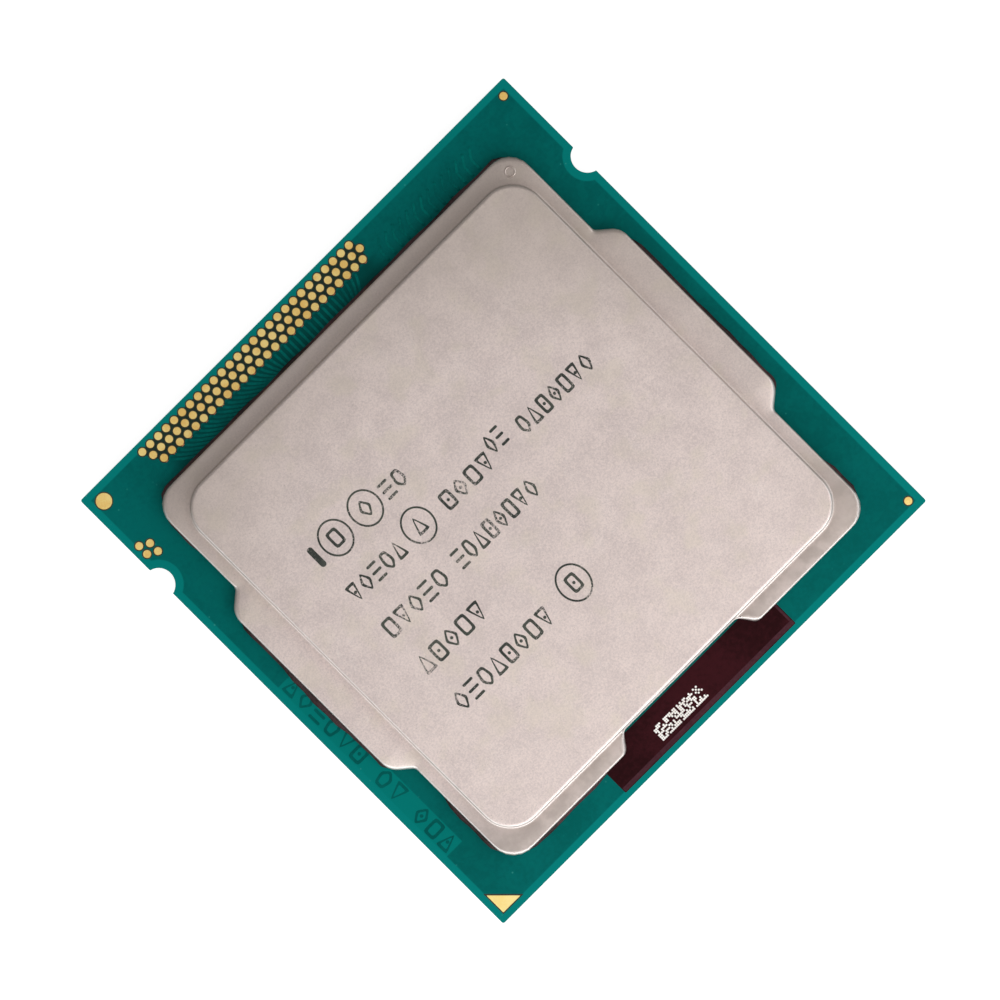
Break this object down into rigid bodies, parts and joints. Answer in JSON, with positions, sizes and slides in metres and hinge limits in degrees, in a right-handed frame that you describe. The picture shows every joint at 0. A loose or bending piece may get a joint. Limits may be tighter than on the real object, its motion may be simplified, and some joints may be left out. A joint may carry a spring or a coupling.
{
  "type": "desktop processor",
  "caption": "Square laminated board with a plated metal lid on top, contact lands and capacitors underneath, and two key notches.",
  "frame": {"origin": "centre of the board, at the lowest point of the underside capacitors", "axes": "+Z out of the lid's top, the first contact's gold triangle at the -X -Y corner, key notches on the -X and +X sides"},
  "size_m": [0.0376, 0.0376, 0.0049],
  "materials": {
    "laminate_core": "matte cut edge",
    "buildup_film": "matte",
    "copper": "satin",
    "solder_mask": "satin lacquer",
    "gold_plating": "satin",
    "label_ink": "matte",
    "silicon": "polished",
    "solder": "satin",
    "underfill_epoxy": "gloss",
    "thermal_paste": "matte",
    "nickel_plating": "matte nickel plating over copper",
    "sealant": "matte",
    "capacitor_ceramic": "matte",
    "tin_plating": "satin"
  },
  "bodies": {
    "root": {"substrate_core": "laminate_core", "core_vias": "copper", "buildup_top": "buildup_film", "buildup_bottom": "buildup_film", "copper_plane_top": "copper", "copper_plane_bottom": "copper", "fanout_traces": "copper", "solder_mask_top": "solder_mask", "solder_mask_bottom": "solder_mask", "test_pads": "gold_plating", "corner_test_pads": "gold_plating", "fiducial_large": "gold_plating", "fiducials_small": "gold_plating", "pin_one_marker": "gold_plating", "label_patch": "label_ink", "silicon_die": "silicon", "solder_bumps": "solder", "underfill": "underfill_epoxy", "thermal_paste": "thermal_paste", "heat_spreader": "nickel_plating", "lid_sealant": "sealant", "die_capacitor_bodies": "capacitor_ceramic", "die_capacitor_terminals": "tin_plating", "land_capacitor_bodies_large": "capacitor_ceramic", "land_capacitor_terminals_large": "tin_plating", "land_capacitor_bodies_small": "capacitor_ceramic", "land_capacitor_terminals_small": "tin_plating", "lands_left": "gold_plating", "lands_right": "gold_plating", "underside_test_pads": "gold_plating"}
  },
  "joints": []
}
